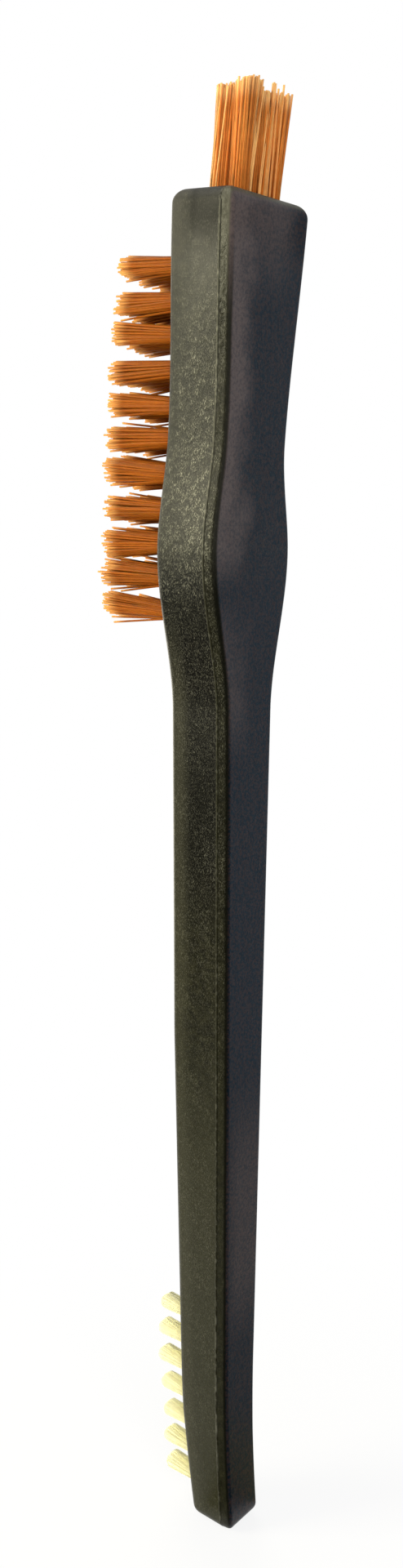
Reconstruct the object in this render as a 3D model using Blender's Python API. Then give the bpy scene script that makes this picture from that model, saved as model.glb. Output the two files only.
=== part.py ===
# Detailing brush: a moulded handle with anchored tufts on its head, its end and its tail.
# Metres, +Z up. The brush stands on its tail end, with the origin at the centre of that end.
# The flat back of the handle faces +X and the tufts of the head and the tail point to -X.

import math

import bmesh
import bpy
from mathutils import Matrix, Vector

MM = 0.001

# Handle
HANDLE_LENGTH = 245.0 * MM
HEAD_END_ROUNDING = 2.35 * MM
TAIL_END_ROUNDING = 1.9 * MM

# Corners of a section, and the parting line of the mould on the two narrow sides. The sides narrow from
# that line to both faces, and the back half of the mould stands in from the front half by a small step.
BACK_CORNER_RADIUS = 0.8 * MM
FRONT_CORNER_RADIUS = 1.4 * MM
PARTING_DEPTH = 2.9 * MM
PARTING_STEP = 0.06 * MM
BACK_DRAFT = 0.2 * MM
FRONT_DRAFT = 0.2 * MM

# Widths of the handle, across the back face
TAIL_WIDTH = 9.4 * MM
NECK_WIDTH = 13.5 * MM
BELLY_WIDTH = 22.3 * MM
WAIST_WIDTH = 17.95 * MM
HEAD_END_WIDTH = 22.05 * MM

# Heights of those widths along the handle
TAIL_WIDTH_HEIGHT = 18.0 * MM
NECK_HEIGHT = 159.5 * MM
BELLY_HEIGHT = 187.5 * MM
WAIST_HEIGHT = 206.0 * MM

# Slope of the widening head at its end, as width gained for each unit of height
HEAD_END_FLARE = 0.03

# Thicknesses of the handle, from the back face to the bristle face
GRIP_THICKNESS = 13.0 * MM
TAIL_ROOT_THICKNESS = 11.35 * MM
TAIL_END_THICKNESS = 9.6 * MM
GRIP_THICKNESS_HEIGHT = 100.0 * MM
TAIL_ROOT_HEIGHT = 22.0 * MM

# The head leans back from the line of the grip, and the tail sweeps back a little
HEAD_LEAN = math.radians(3.7)
HEAD_LEAN_HEIGHT = 199.0 * MM
HEAD_LEAN_BLEND = 6.0 * MM
TAIL_SWEEP = 1.55 * MM
TAIL_SWEEP_LENGTH = 34.0 * MM

# Tufts of the side of the head
SIDE_COLUMNS = 11
SIDE_ROWS = 3
SIDE_COLUMN_PITCH = 5.67 * MM
SIDE_ROW_PITCH = 4.35 * MM
SIDE_END_MARGIN = 10.6 * MM
SIDE_LENGTH = 16.9 * MM

# Tufts of the end of the head
END_COLUMNS = 3
END_ROWS = 2
END_COLUMN_PITCH = 4.35 * MM
END_ROW_PITCH = 4.35 * MM
END_OFFSET = 0.85 * MM
END_LENGTH = 16.8 * MM

# Holes and strands of the head's tufts, which are alike on its side and on its end
HEAD_HOLE_DIAMETER = 3.1 * MM
HEAD_HOLE_DEPTH = 6.0 * MM
HEAD_RING_STRANDS = 8
HEAD_STRAND_DIAMETER = 0.54 * MM
HEAD_SPLAY = math.radians(1.7)

# Tufts of the tail
TAIL_COLUMNS = 7
TAIL_ROWS = 2
TAIL_COLUMN_PITCH = 5.82 * MM
TAIL_ROW_PITCH = 2.3 * MM
TAIL_END_MARGIN = 5.2 * MM
TAIL_LENGTH = 7.9 * MM
TAIL_TILT = math.radians(-3.5)
TAIL_HOLE_DIAMETER = 1.65 * MM
TAIL_HOLE_DEPTH = 4.2 * MM
TAIL_RING_STRANDS = 6
TAIL_STRAND_DIAMETER = 0.35 * MM
TAIL_SPLAY = math.radians(4.0)

# Roots and anchors of all the tufts
HOLE_CLEARANCE = 0.3 * MM
HOLE_WALL = 0.8 * MM
ROOT_RECESS = 0.5 * MM
STRAND_OVERLAP = 0.4 * MM
TIP_RAGGEDNESS = 0.7 * MM
ANCHOR_THICKNESS = 0.45 * MM
ANCHOR_HEIGHT = 1.5 * MM
ANCHOR_BITE = 0.55 * MM

# How much tighter the corners and drafts of a section get round an end, as a share of their size
END_CORNER_TIGHTENING = 0.7

# How far the outer strands stand in from the rim of their root, in strand diameters
STRAND_INSET = 0.75

# Step through the strands of a tuft, so that neighbours are not cut to like lengths
TIP_STRIDE = 4

# Finish of the meshes
CORNER_STEPS = 3
END_STEPS = 3
GRIP_STEP = 12.0 * MM
HEAD_STEP = 3.6 * MM
HOLE_SIDES = 12
ROOT_SIDES = 10
STRAND_SIDES = 3
SHARP_ANGLE = math.radians(35.0)

PARTS = "detailing_brush"
CUTTERS = "cutters"


def clear_scene():
    for item in list(bpy.data.objects):
        bpy.data.objects.remove(item, do_unlink=True)


def make_collection(name):
    collection = bpy.data.collections.new(name)
    bpy.context.scene.collection.children.link(collection)
    return collection


def make_material(name, colour, roughness, specular):
    material = bpy.data.materials.new(name)
    material.use_nodes = True
    shader = material.node_tree.nodes["Principled BSDF"]
    shader.inputs["Base Color"].default_value = (*colour, 1.0)
    shader.inputs["Roughness"].default_value = roughness
    shader.inputs["Metallic"].default_value = 0.0
    shader.inputs["Specular IOR Level"].default_value = specular
    return material


def handle_material():
    return make_material("black_textured_plastic", (0.035, 0.034, 0.026), 0.6, 0.4)


def amber_material():
    return make_material("amber_nylon", (0.50, 0.17, 0.03), 0.35, 0.5)


def pale_material():
    return make_material("pale_nylon", (0.90, 0.82, 0.45), 0.45, 0.4)


# Shape of the handle

def ease(start, end, share):
    return start + (end - start) * share * share * (3.0 - 2.0 * share)


def width_at(height):
    if height < TAIL_WIDTH_HEIGHT:
        return TAIL_WIDTH
    if height < NECK_HEIGHT:
        share = (height - TAIL_WIDTH_HEIGHT) / (NECK_HEIGHT - TAIL_WIDTH_HEIGHT)
        return TAIL_WIDTH + (NECK_WIDTH - TAIL_WIDTH) * share
    if height < BELLY_HEIGHT:
        return ease(NECK_WIDTH, BELLY_WIDTH, (height - NECK_HEIGHT) / (BELLY_HEIGHT - NECK_HEIGHT))
    if height < WAIST_HEIGHT:
        return ease(BELLY_WIDTH, WAIST_WIDTH, (height - BELLY_HEIGHT) / (WAIST_HEIGHT - BELLY_HEIGHT))
    span = HANDLE_LENGTH - WAIST_HEIGHT
    share = (height - WAIST_HEIGHT) / span
    flare = HEAD_END_FLARE * span * (share ** 3 - share ** 2)
    return ease(WAIST_WIDTH, HEAD_END_WIDTH, share) + flare


def thickness_at(height):
    if height < TAIL_ROOT_HEIGHT:
        share = height / TAIL_ROOT_HEIGHT
        return TAIL_END_THICKNESS + (TAIL_ROOT_THICKNESS - TAIL_END_THICKNESS) * share
    if height < GRIP_THICKNESS_HEIGHT:
        share = (height - TAIL_ROOT_HEIGHT) / (GRIP_THICKNESS_HEIGHT - TAIL_ROOT_HEIGHT)
        return TAIL_ROOT_THICKNESS + (GRIP_THICKNESS - TAIL_ROOT_THICKNESS) * share
    return GRIP_THICKNESS


def back_frame(height):
    # The place on the middle of the back face: local X points out of the back, local Z up the handle
    start = HEAD_LEAN_HEIGHT - HEAD_LEAN_BLEND
    radius = 2.0 * HEAD_LEAN_BLEND / HEAD_LEAN
    angle = min(max((height - start) / radius, 0.0), HEAD_LEAN)
    straight = max(height - start - radius * HEAD_LEAN, 0.0)
    x = radius * (1.0 - math.cos(angle)) + straight * math.sin(angle)
    z = min(height, start) + radius * math.sin(angle) + straight * math.cos(angle)
    sweep = max(1.0 - height / TAIL_SWEEP_LENGTH, 0.0)
    x += TAIL_SWEEP * sweep ** 2 + TAIL_END_THICKNESS / 2.0 - TAIL_SWEEP
    return Matrix.Translation((x, 0.0, z)) @ Matrix.Rotation(angle, 4, "Y")


def corner(x, y, radius, start):
    # The points of a quarter circle inside the corner at x, y
    inward = Vector((math.cos(start), math.sin(start), 0.0)) + Vector((-math.sin(start), math.cos(start), 0.0))
    centre = Vector((x, y, 0.0)) - inward * radius
    points = []
    for step in range(CORNER_STEPS + 1):
        angle = start + math.pi / 2.0 * step / CORNER_STEPS
        points.append(centre + Vector((math.cos(angle), math.sin(angle), 0.0)) * radius)
    return points


def section(height, inset=0.0, fullness=1.0):
    # The outline at one height, drawn in by the inset, as points in order round the handle
    half_width = width_at(height) / 2.0 - inset
    back_radius = BACK_CORNER_RADIUS * fullness
    back_width = half_width - (PARTING_STEP + BACK_DRAFT) * fullness
    front_width = half_width - FRONT_DRAFT * fullness
    parting = -max(PARTING_DEPTH, inset + back_radius + PARTING_STEP)
    half = corner(-inset, back_width, back_radius, 0.0)
    half.append(Vector((parting, half_width - PARTING_STEP * fullness, 0.0)))
    half.append(Vector((parting, half_width, 0.0)))
    half += corner(inset - thickness_at(height), front_width, FRONT_CORNER_RADIUS * fullness, math.pi / 2.0)
    other_half = [Vector((point.x, -point.y, 0.0)) for point in reversed(half)]
    frame = back_frame(height)
    return [frame @ point for point in half + other_half]


def end_sections(end, rounding, direction):
    # The sections round one end, from the end inwards, along a quarter circle
    sections = []
    for step in range(END_STEPS + 1):
        angle = math.pi / 2.0 * (1.0 - step / END_STEPS)
        inset = rounding * (1.0 - math.cos(angle))
        height = end + direction * rounding * (1.0 - math.sin(angle))
        sections.append(section(height, inset, 1.0 - END_CORNER_TIGHTENING * inset / rounding))
    return sections


def steps_between(start, end, largest):
    count = math.ceil((end - start) / largest)
    return [start + (end - start) * step / count for step in range(1, count + 1)]


def handle_mesh():
    low = TAIL_END_ROUNDING
    high = HANDLE_LENGTH - HEAD_END_ROUNDING
    marks = [low, TAIL_ROOT_HEIGHT, TAIL_SWEEP_LENGTH, GRIP_THICKNESS_HEIGHT, NECK_HEIGHT]
    heights = []
    for start, end in zip(marks, marks[1:]):
        heights += steps_between(start, end, GRIP_STEP)
    heights += steps_between(NECK_HEIGHT, high, HEAD_STEP)[:-1]
    rings = end_sections(0.0, TAIL_END_ROUNDING, 1.0)
    rings += [section(height) for height in heights]
    rings += reversed(end_sections(HANDLE_LENGTH, HEAD_END_ROUNDING, -1.0))

    shape = bmesh.new()
    loops = [[shape.verts.new(point) for point in ring] for ring in rings]
    count = len(loops[0])
    for lower, upper in zip(loops, loops[1:]):
        for i in range(count):
            j = (i + 1) % count
            shape.faces.new((lower[i], lower[j], upper[j], upper[i]))
    shape.faces.new(reversed(loops[0]))
    shape.faces.new(loops[-1])
    mesh = bpy.data.meshes.new("handle")
    shape.to_mesh(mesh)
    shape.free()
    mesh.shade_smooth()
    mesh.set_sharp_from_angle(angle=SHARP_ANGLE)
    return mesh


# Places of the tufts: local +Z points out of the hole, and local Z 0 is at its mouth

def side_places():
    places = []
    for column in range(SIDE_COLUMNS):
        height = HANDLE_LENGTH - SIDE_END_MARGIN - column * SIDE_COLUMN_PITCH
        frame = back_frame(height) @ Matrix.Translation((-thickness_at(height), 0.0, 0.0))
        for row in range(SIDE_ROWS):
            y = (row - (SIDE_ROWS - 1) / 2.0) * SIDE_ROW_PITCH
            place = frame @ Matrix.Translation((0.0, y, 0.0)) @ Matrix.Rotation(-math.pi / 2.0, 4, "Y")
            places.append((f"side_tuft_{column + 1:02d}_{row + 1}", place))
    return places


def end_places():
    frame = back_frame(HANDLE_LENGTH) @ Matrix.Translation((END_OFFSET - GRIP_THICKNESS / 2.0, 0.0, 0.0))
    turn = Matrix.Rotation(math.pi / 4.0, 4, "Z")
    places = []
    for column in range(END_COLUMNS):
        y = (column - (END_COLUMNS - 1) / 2.0) * END_COLUMN_PITCH
        for row in range(END_ROWS):
            x = ((END_ROWS - 1) / 2.0 - row) * END_ROW_PITCH
            places.append((f"end_tuft_{column + 1}_{row + 1}", frame @ Matrix.Translation((x, y, 0.0)) @ turn))
    return places


def tail_places():
    places = []
    for column in range(TAIL_COLUMNS):
        height = TAIL_END_MARGIN + (TAIL_COLUMNS - 1 - column) * TAIL_COLUMN_PITCH
        frame = back_frame(height) @ Matrix.Translation((-thickness_at(height), 0.0, 0.0))
        turn = Matrix.Rotation(-math.pi / 2.0 - TAIL_TILT, 4, "Y")
        for row in range(TAIL_ROWS):
            y = (row - (TAIL_ROWS - 1) / 2.0) * TAIL_ROW_PITCH
            places.append((f"tail_tuft_{column + 1}_{row + 1}", frame @ Matrix.Translation((0.0, y, 0.0)) @ turn))
    return places


def end_hole_depth():
    # The end holes stop short of the anchor slots of the first column of side holes
    reach = HEAD_HOLE_DIAMETER / 2.0 + ANCHOR_BITE
    return min(HEAD_HOLE_DEPTH, SIDE_END_MARGIN - reach - HOLE_WALL)


# Holes

def cylinder(radius, sides, bottom, top, place=Matrix.Identity(4)):
    shape = bmesh.new()
    bmesh.ops.create_cone(
        shape,
        cap_ends=True,
        segments=sides,
        radius1=radius,
        radius2=radius,
        depth=top - bottom,
        matrix=place @ Matrix.Translation((0.0, 0.0, (top + bottom) / 2.0)),
    )
    return shape


def anchor_wire(diameter, depth, gap):
    # A flat wire along local X, standing one clearance above the floor of its hole, with a gap all round
    length = diameter + 2.0 * (ANCHOR_BITE + gap - HOLE_CLEARANCE)
    size = (length, ANCHOR_THICKNESS + 2.0 * gap, ANCHOR_HEIGHT + 2.0 * gap, 1.0)
    centre = HOLE_CLEARANCE - depth + ANCHOR_HEIGHT / 2.0
    shape = bmesh.new()
    bmesh.ops.create_cube(shape, size=1.0, matrix=Matrix.Translation((0.0, 0.0, centre)) @ Matrix.Diagonal(size))
    return shape


def hole_mesh(name, diameter, depth):
    # A blind hole with the slot that its anchor cuts in the wall
    hole = cylinder(diameter / 2.0, HOLE_SIDES, -depth, ROOT_RECESS + FRONT_CORNER_RADIUS)
    return join_shapes(name, hole, [anchor_wire(diameter, depth, HOLE_CLEARANCE)])


def hole_cutter(fields, collection):
    # One cutter with a copy of each field's hole at each of its places
    shape = bmesh.new()
    for name, diameter, depth, places in fields:
        mesh = hole_mesh(f"{name}_hole", diameter, depth)
        for _, place in places:
            first = len(shape.verts)
            shape.from_mesh(mesh)
            shape.verts.ensure_lookup_table()
            bmesh.ops.transform(shape, matrix=place, verts=shape.verts[first:])
        bpy.data.meshes.remove(mesh)
    mesh = bpy.data.meshes.new("tuft_holes")
    shape.to_mesh(mesh)
    shape.free()
    cutter = bpy.data.objects.new("tuft_holes", mesh)
    cutter.hide_render = True
    cutter.display_type = "WIRE"
    collection.objects.link(cutter)
    return cutter


def cut(target, cutter):
    modifier = target.modifiers.new(cutter.name, "BOOLEAN")
    modifier.operation = "DIFFERENCE"
    modifier.solver = "EXACT"
    modifier.object = cutter


# Tufts

def strand_places(ring_strands, ring_radius, splay):
    # One strand in the middle and a ring round it, each leaning outwards
    places = [Matrix.Identity(4)]
    for index in range(ring_strands):
        turn = Matrix.Rotation(2.0 * math.pi * (index + 0.5) / ring_strands, 4, "Z")
        places.append(turn @ Matrix.Translation((ring_radius, 0.0, 0.0)) @ Matrix.Rotation(splay, 4, "Y"))
    return places


def strand_length(index, count, length):
    # The tips are cut a little unevenly
    return length - TIP_RAGGEDNESS * (index * TIP_STRIDE % count) / count


def tuft_mesh(name, diameter, depth, length, ring_strands, strand_diameter, splay):
    # The folded root with its strands and its anchor, as one solid
    root_radius = diameter / 2.0 - HOLE_CLEARANCE
    root = cylinder(root_radius, ROOT_SIDES, HOLE_CLEARANCE - depth, -ROOT_RECESS)
    places = strand_places(ring_strands, root_radius - STRAND_INSET * strand_diameter, splay)
    bottom = -ROOT_RECESS - STRAND_OVERLAP
    strands = []
    for index, place in enumerate(places):
        top = strand_length(index, len(places), length)
        strands.append(cylinder(strand_diameter / 2.0, STRAND_SIDES, bottom, top, place))
    return join_shapes(name, root, [*strands, anchor_wire(diameter, depth, 0.0)])


def make_object(shape, name):
    mesh = bpy.data.meshes.new(name)
    shape.to_mesh(mesh)
    shape.free()
    item = bpy.data.objects.new(name, mesh)
    bpy.context.scene.collection.objects.link(item)
    return item


def join_shapes(name, base, others):
    # The union of the base with the other shapes, as one smooth shaded mesh
    target = make_object(base, name)
    helpers = [make_object(shape, f"{name}_{index}") for index, shape in enumerate(others)]
    for helper in helpers:
        modifier = target.modifiers.new(helper.name, "BOOLEAN")
        modifier.operation = "UNION"
        modifier.solver = "EXACT"
        modifier.object = helper
    evaluated = target.evaluated_get(bpy.context.evaluated_depsgraph_get())
    mesh = bpy.data.meshes.new_from_object(evaluated)
    for item in [target, *helpers]:
        bpy.data.objects.remove(item, do_unlink=True)
    mesh.shade_smooth()
    mesh.set_sharp_from_angle(angle=SHARP_ANGLE)
    return mesh


def place_tufts(mesh, places, parent, collection):
    for name, place in places:
        tuft = bpy.data.objects.new(name, mesh)
        tuft.parent = parent
        tuft.matrix_local = place
        collection.objects.link(tuft)


def build():
    clear_scene()
    parts = make_collection(PARTS)
    cutters = make_collection(CUTTERS)

    handle = bpy.data.objects.new("handle", handle_mesh())
    handle.data.materials.append(handle_material())
    parts.objects.link(handle)

    sides = side_places()
    ends = end_places()
    tails = tail_places()
    end_depth = end_hole_depth()
    fields = (
        ("side", HEAD_HOLE_DIAMETER, HEAD_HOLE_DEPTH, sides),
        ("end", HEAD_HOLE_DIAMETER, end_depth, ends),
        ("tail", TAIL_HOLE_DIAMETER, TAIL_HOLE_DEPTH, tails),
    )
    cut(handle, hole_cutter(fields, cutters))

    origin = bpy.data.objects.new("brush_origin", None)
    parts.objects.link(origin)
    handle.parent = origin
    head_strands = (HEAD_RING_STRANDS, HEAD_STRAND_DIAMETER, HEAD_SPLAY)
    side_mesh = tuft_mesh("side_tuft", HEAD_HOLE_DIAMETER, HEAD_HOLE_DEPTH, SIDE_LENGTH, *head_strands)
    end_mesh = tuft_mesh("end_tuft", HEAD_HOLE_DIAMETER, end_depth, END_LENGTH, *head_strands)
    tail_strands = (TAIL_RING_STRANDS, TAIL_STRAND_DIAMETER, TAIL_SPLAY)
    tail_mesh = tuft_mesh("tail_tuft", TAIL_HOLE_DIAMETER, TAIL_HOLE_DEPTH, TAIL_LENGTH, *tail_strands)
    amber = amber_material()
    side_mesh.materials.append(amber)
    end_mesh.materials.append(amber)
    tail_mesh.materials.append(pale_material())
    place_tufts(side_mesh, sides, origin, parts)
    place_tufts(end_mesh, ends, origin, parts)
    place_tufts(tail_mesh, tails, origin, parts)


build()
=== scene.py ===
# Looks of the detailing brush: fine filaments in its tufts, moulded plastic on its handle, a pale studio.
# Metres, +Z up. The brush stands on its tail end, with its back face toward +X.

import math
import random

import bpy
import numpy as np
from mathutils import Matrix, Vector, noise


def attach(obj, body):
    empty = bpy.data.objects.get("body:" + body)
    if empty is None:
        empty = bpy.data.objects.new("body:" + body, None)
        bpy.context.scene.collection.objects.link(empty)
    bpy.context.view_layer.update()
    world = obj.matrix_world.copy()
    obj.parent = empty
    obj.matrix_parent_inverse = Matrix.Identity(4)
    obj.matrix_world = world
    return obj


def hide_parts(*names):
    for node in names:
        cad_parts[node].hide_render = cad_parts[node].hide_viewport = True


MM = 0.001

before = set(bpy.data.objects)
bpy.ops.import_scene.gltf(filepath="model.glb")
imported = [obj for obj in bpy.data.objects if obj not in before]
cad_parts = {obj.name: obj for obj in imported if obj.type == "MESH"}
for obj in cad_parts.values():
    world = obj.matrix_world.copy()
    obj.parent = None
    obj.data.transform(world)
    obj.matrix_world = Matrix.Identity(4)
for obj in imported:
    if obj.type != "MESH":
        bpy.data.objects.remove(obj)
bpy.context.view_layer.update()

# Camera
CAMERA_PLACE = Vector((146.61, -195.30, 194.63)) * MM
CAMERA_YAW = math.radians(38.29)
CAMERA_PITCH = math.radians(11.077)
CAMERA_ROLL = math.radians(0.504)
CAMERA_LENS = 32.084

# Handle
HANDLE_LENGTH = 245.0 * MM
BACK_CORNER_RADIUS = 0.8 * MM
FRONT_CORNER_RADIUS = 1.4 * MM
PARTING_DEPTH = 2.25 * MM
PARTING_STEP = 0.06 * MM
BACK_DRAFT = 0.2 * MM
FRONT_DRAFT = 0.2 * MM
END_CORNER_TIGHTENING = 0.7
TAIL_END_ROUNDING = 1.9 * MM
HEAD_END_ROUNDING = 2.35 * MM
WIDTHS = ((18.0 * MM, 9.4 * MM), (159.5 * MM, 13.5 * MM), (187.5 * MM, 22.3 * MM), (206.0 * MM, 17.95 * MM))
HEAD_END_WIDTH = 22.05 * MM
HEAD_END_FLARE = 0.03
THICKNESSES = ((0.0, 9.6 * MM), (22.0 * MM, 11.35 * MM), (100.0 * MM, 13.0 * MM))
HEAD_LEAN = math.radians(3.7)
HEAD_LEAN_HEIGHT = 199.0 * MM
HEAD_LEAN_BLEND = 6.0 * MM
TAIL_SWEEP = 1.55 * MM
TAIL_SWEEP_LENGTH = 34.0 * MM

# The handle's mesh: its steps round a corner, round an end and along, and how far from the edges of a flat,
# or of the slope behind the parting line, the rows of points lie that keep it flat
CORNER_STEPS = 8
END_STEPS = 10
RING_STEP = 1.0 * MM
FLAT_MARGIN = 0.2 * MM
SLOPE_MARGIN = 0.15

# Tuft fields
SIDE_COLUMNS = 11
SIDE_ROWS = 3
SIDE_COLUMN_PITCH = 5.67 * MM
SIDE_ROW_PITCH = 4.35 * MM
SIDE_END_MARGIN = 10.6 * MM
END_COLUMNS = 3
END_ROWS = 2
END_COLUMN_PITCH = 4.35 * MM
END_ROW_PITCH = 4.35 * MM
END_OFFSET = 0.85 * MM
TAIL_COLUMNS = 7
TAIL_ROWS = 2
TAIL_COLUMN_PITCH = 5.82 * MM
TAIL_ROW_PITCH = 2.3 * MM
TAIL_END_MARGIN = 5.2 * MM
TAIL_TILT = math.radians(-3.5)

# Filaments: their number of sides, their thickness, where their roots end and, for those of the side and of
# each row of the tail, their length before the cut
FILAMENT_SIDES = 6
SIDE_STRAND = 0.36 * MM
END_STRAND = 0.37 * MM
FINE_STRAND = 0.24 * MM
HEAD_ROOT = -1.5 * MM
TAIL_ROOT = -1.0 * MM
SIDE_LENGTH = 16.9 * MM
TAIL_LENGTHS = (7.9 * MM, 8.2 * MM)

# The tips of the side tufts are cut along a line: how far short of their solids it runs at three columns
SIDE_CUT_COLUMNS = (0.0, 4.0, 10.0)
SIDE_CUTS = (2.5 * MM, 1.1 * MM, 0.4 * MM)

# The side tufts of each column: how far they lean up or down, and how far they pass that line in mm
SIDE_LEANS = (0.0, -0.03, 0.0, -0.06, 0.0, -0.045, 0.04, 0.02, 0.0, 0.03, 0.07)
SIDE_EXTRA = (0.0, 0.0, 0.3, 0.6, -0.6, 0.4, 0.3, -0.4, 0.0, 0.3, -0.2)

# The side tufts of some columns: how far they lie below the pitch in mm, how much lower each row behind the
# near one lies in mm, and how slim they are
SIDE_DROPS = {0: 0.3, 1: 0.45, 2: 0.15, 4: 0.6, 7: 0.2, 9: 0.25, 10: 0.6}
SIDE_ROW_DROPS = {6: 0.3, 7: 0.3, 9: 0.1, 10: 0.6}
SIDE_SLIM = {10: 0.85}

# The number of strands in a side tuft, and how far they spread from its middle, by row
SIDE_FIELDS = ((78, 1.25 * MM), (72, 1.40 * MM), (72, 1.45 * MM))

# Single strands below side tufts of the near row: how far below the middle of the tuft they start and, for
# its column, their lean and their length in mm
SIDE_STRAY_START = 1.15 * MM
SIDE_STRAYS = {
    5: ((-0.13, 13.0),),
    6: ((-0.10, 15.6), (-0.13, 13.6)),
    8: ((-0.10, 16.2), (-0.12, 15.0)),
    9: ((-0.09, 16.4), (-0.13, 13.4)),
    10: ((-0.03, 15.0), (-0.09, 14.2)),
}

# The end tufts of each column: their length, how many pale strands cross them, and how far they stand off
# their holes toward the front and toward the near side
END_LENGTHS = (16.4 * MM, 15.25 * MM, 15.6 * MM)
END_PALE_STRANDS = (5, 3, 1)
END_SHIFTS = ((0.0, 0.0), (0.0, 0.0), (0.15 * MM, 0.30 * MM))

# How much lower the front row of the end block is, how much the top of a tuft of each row rises from its
# middle to its back, and how much each column leans farther away from the near side
END_ROW_CUT = 0.4 * MM
END_SLOPES = (0.35 * MM, 0.0)
END_LEAN = 0.015

# How far from the middle of an end tuft the single strands on its outer sides start, how much wider it is on
# the sides where it has neighbours, and how much flatter on the others, by row and by column
END_RIM = 1.50 * MM
END_BULGE = 1.35
END_ROW_FLATS = (1.0, 0.75)
END_COLUMN_FLATS = (1.0, 1.0, 0.75)

# Strands that stand above the others of an end tuft: for its column and row, their y and their length in mm
END_TALL_STRANDS = {
    (1, 0): ((0.00, 16.8), (0.36, 17.0), (0.72, 16.9), (1.55, 16.3)),
    (2, 0): ((-1.62, 17.2),),
}

# The tail tufts of each column: how much they are cut, and how much wider the two are where they meet
TAIL_CUTS = (0.8 * MM, 0.1 * MM, 0.0, 0.4 * MM, 0.4 * MM, -0.2 * MM, -0.5 * MM)
TAIL_BULGE = 1.6

# The mould flash: its steps along the handle, its two feet, each as its place behind the parting line and out
# of the side face, the edges of its crest behind the parting line, how far and how unevenly the crest stands
# proud, and how long its waves are
FLASH_STEPS = 420
FLASH_BACK_FOOT = (0.26 * MM, -0.085 * MM)
FLASH_FRONT_FOOT = (-0.26 * MM, -0.02 * MM)
FLASH_CREST = (0.04 * MM, -0.08 * MM)
FLASH_PROUD = 0.035 * MM
FLASH_UNEVENNESS = 0.04 * MM
FLASH_WAVE = 1.8 * MM

# The soft white light from all round
AMBIENT = 0.38

# The floor: how far it reaches, and how far below the foot of the brush it lies
FLOOR_REACH = 3.0
FLOOR_DROP = 0.2 * MM

# Colours of the cards, and how far those at the floor stand above it
BLACK_CARD = (0.004, 0.004, 0.004)
WARM_CARD = (1.0, 0.95, 0.80)
BLUE_CARD = (0.19, 0.25, 0.32)
CARD_HEIGHT = 0.5 * MM


# Meshes and pieces

def tube_faces(first, rings, around):
    # The faces of a tube with closed ends: rings of points, one above the other, from the point first on
    faces = []
    for ring in range(rings - 1):
        low = first + ring * around
        high = low + around
        for i in range(around):
            j = (i + 1) % around
            faces.append((low + i, low + j, high + j, high + i))
    top = first + (rings - 1) * around
    faces.append(tuple(first + i for i in reversed(range(around))))
    faces.append(tuple(top + i for i in range(around)))
    return faces


def set_values(mesh, name, values):
    # A value for the shader at each point of the mesh
    attribute = mesh.attributes.new(name, "FLOAT", "POINT")
    attribute.data.foreach_set("value", values)


def add_piece(name, mesh, place, material, node=None):
    # A piece of the brush, which takes the place of a solid where it has a node
    mesh.materials.append(material)
    piece = bpy.data.objects.new(name, mesh)
    piece.matrix_world = place
    bpy.context.scene.collection.objects.link(piece)
    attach(piece, "root")
    if node:
        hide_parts(node)


# Shape of the handle

def ease(start, end, share):
    return start + (end - start) * share * share * (3.0 - 2.0 * share)


def width_at(height):
    (tail, tail_width), (neck, neck_width), (belly, belly_width), (waist, waist_width) = WIDTHS
    if height < tail:
        return tail_width
    if height < neck:
        return tail_width + (neck_width - tail_width) * (height - tail) / (neck - tail)
    if height < belly:
        return ease(neck_width, belly_width, (height - neck) / (belly - neck))
    if height < waist:
        return ease(belly_width, waist_width, (height - belly) / (waist - belly))
    span = HANDLE_LENGTH - waist
    share = (height - waist) / span
    return ease(waist_width, HEAD_END_WIDTH, share) + HEAD_END_FLARE * span * (share ** 3 - share ** 2)


def thickness_at(height):
    heights, values = zip(*THICKNESSES)
    return float(np.interp(height, heights, values))


def back_frame(height):
    # The place on the middle of the back face: local X points out of the back, local Z up the handle
    start = HEAD_LEAN_HEIGHT - HEAD_LEAN_BLEND
    radius = 2.0 * HEAD_LEAN_BLEND / HEAD_LEAN
    angle = min(max((height - start) / radius, 0.0), HEAD_LEAN)
    straight = max(height - start - radius * HEAD_LEAN, 0.0)
    x = radius * (1.0 - math.cos(angle)) + straight * math.sin(angle)
    z = min(height, start) + radius * math.sin(angle) + straight * math.cos(angle)
    sweep = max(1.0 - height / TAIL_SWEEP_LENGTH, 0.0)
    x += TAIL_SWEEP * sweep ** 2 + THICKNESSES[0][1] / 2.0 - TAIL_SWEEP
    return Matrix.Translation((x, 0.0, z)) @ Matrix.Rotation(angle, 4, "Y")


# The handle, as in the solids but with finer steps, and with rows of points that keep its flats flat

def corner(x, y, radius, start):
    inward = Vector((math.cos(start) - math.sin(start), math.sin(start) + math.cos(start), 0.0))
    centre = Vector((x, y, 0.0)) - inward * radius
    points = []
    for step in range(CORNER_STEPS + 1):
        angle = start + math.pi / 2.0 * step / CORNER_STEPS
        points.append(centre + Vector((math.cos(angle), math.sin(angle), 0.0)) * radius)
    return points


def near_both_ends(first, last, margin):
    # Two points on a flat, close to its two edges
    share = margin / (last - first).length
    return [first.lerp(last, share), first.lerp(last, 1.0 - share)]


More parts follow.
